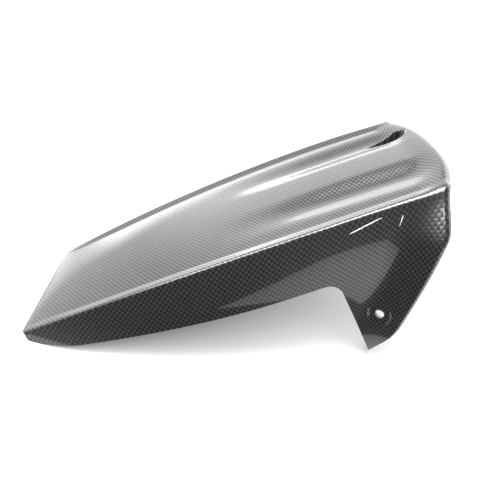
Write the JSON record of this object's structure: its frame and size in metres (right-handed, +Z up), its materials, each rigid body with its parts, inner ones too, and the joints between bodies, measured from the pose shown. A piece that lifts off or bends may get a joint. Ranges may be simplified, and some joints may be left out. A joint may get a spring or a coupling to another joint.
{
  "type": "motorcycle rear fender",
  "caption": "Moulded carbon laminate hugger for a motorcycle's rear wheel: a rising, valleyed top panel, side walls and two flared legs with screw bores.",
  "frame": {"origin": "middle of the footprint, on the ground that the tail corners and the leg tips stand on", "axes": "+X from the tail to the front rim, +Y towards the side with the screw pocket, +Z up"},
  "size_m": [0.418, 0.2454, 0.1808],
  "materials": {
    "laminate": "gloss"
  },
  "bodies": {
    "root": {"fender_shell": "laminate"}
  },
  "joints": []
}
